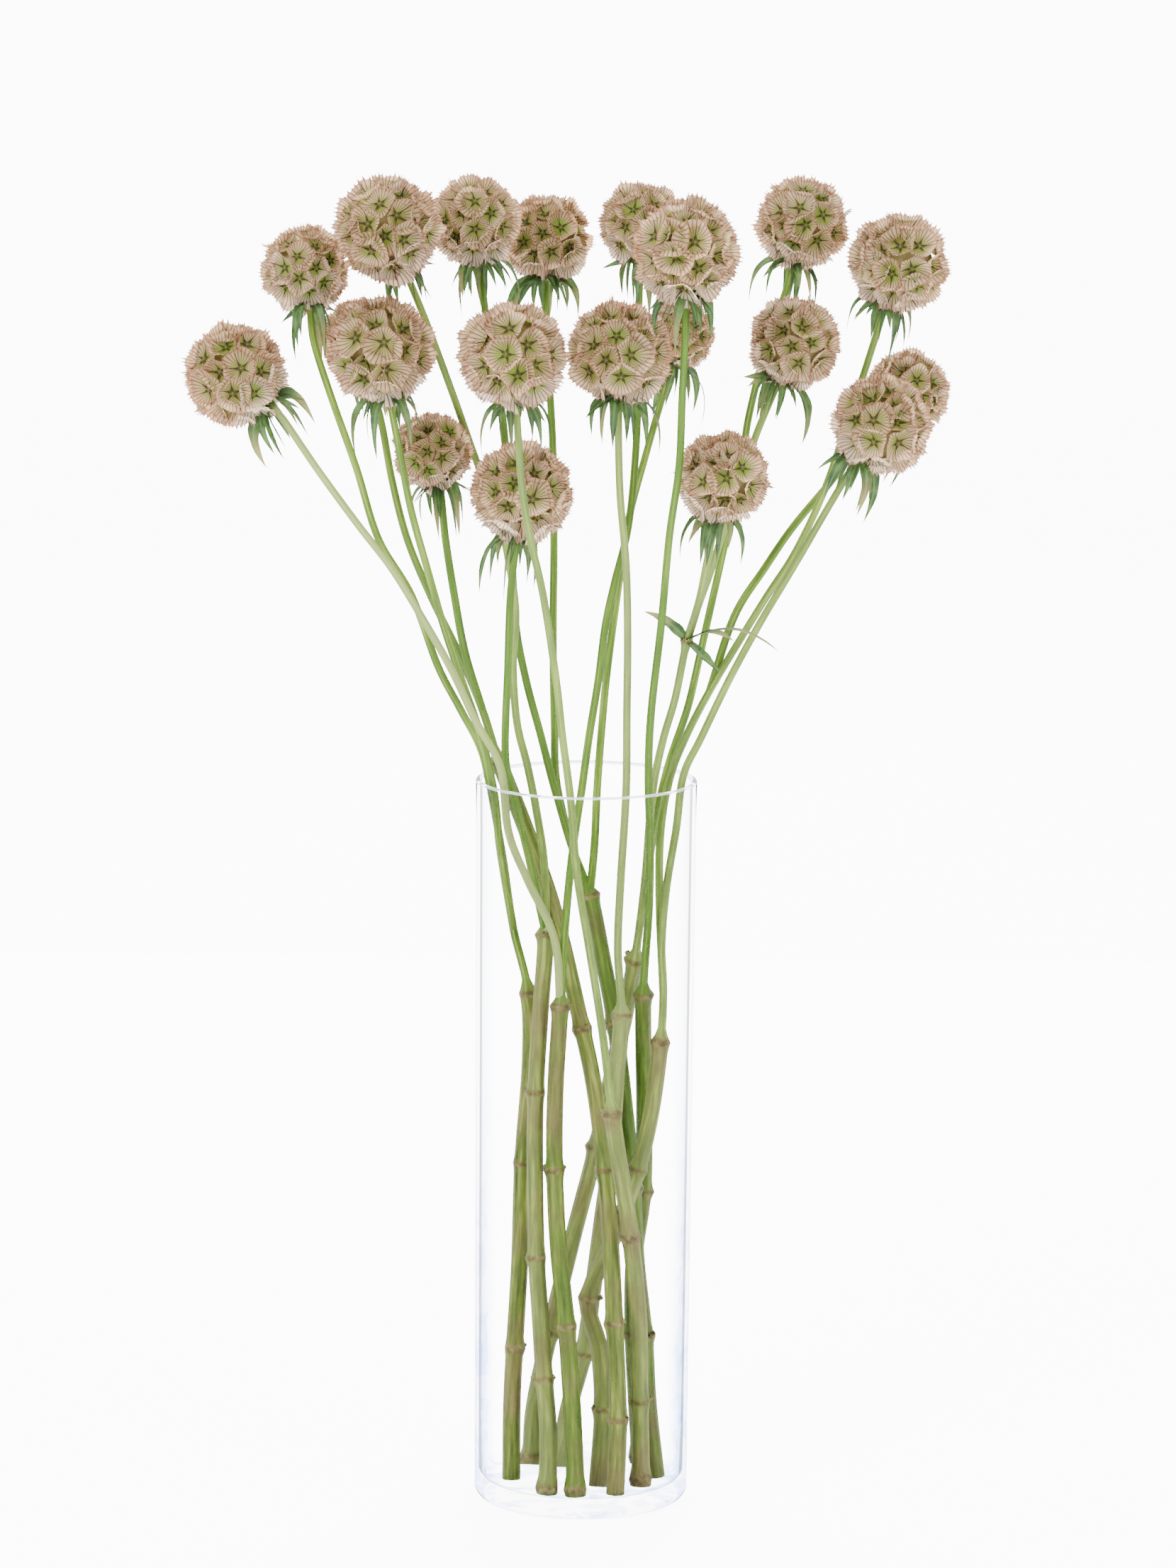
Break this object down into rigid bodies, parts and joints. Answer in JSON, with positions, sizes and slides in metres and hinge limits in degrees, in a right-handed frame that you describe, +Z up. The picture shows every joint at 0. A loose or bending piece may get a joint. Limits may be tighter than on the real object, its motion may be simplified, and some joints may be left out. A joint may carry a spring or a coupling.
{
  "type": "starflower scabiosa",
  "caption": "Bunch of round papery starflower scabiosa seed heads on slender green stems, standing in a clear glass cylinder vase.",
  "frame": {"origin": "centre of the vase's flat base, on the surface it stands on", "axes": "+Z up along the vase, -Y towards the viewer of the picture, +X to the viewer's right"},
  "size_m": [0.3468, 0.1946, 0.6124],
  "materials": {
    "glass": "clear polished",
    "seed_head": "papery, matte",
    "stem": "matte green"
  },
  "bodies": {
    "root": {"vase": "glass", "stem_10": "stem", "stem_01": "stem", "stem_02": "stem", "stem_03": "stem", "stem_12": "stem", "stem_05": "stem", "stem_13": "stem", "stem_06": "stem", "stem_17": "stem", "stem_15": "stem", "head_01": "seed_head", "head_02": "seed_head", "head_03": "seed_head", "head_04": "seed_head", "head_05": "seed_head", "head_06": "seed_head", "head_07": "seed_head", "head_08": "seed_head", "head_09": "seed_head", "head_10": "seed_head", "head_11": "seed_head", "head_12": "seed_head", "head_13": "seed_head", "head_14": "seed_head", "head_15": "seed_head", "head_16": "seed_head", "head_17": "seed_head", "head_18": "seed_head", "head_19": "seed_head", "head_20": "seed_head"}
  },
  "joints": []
}
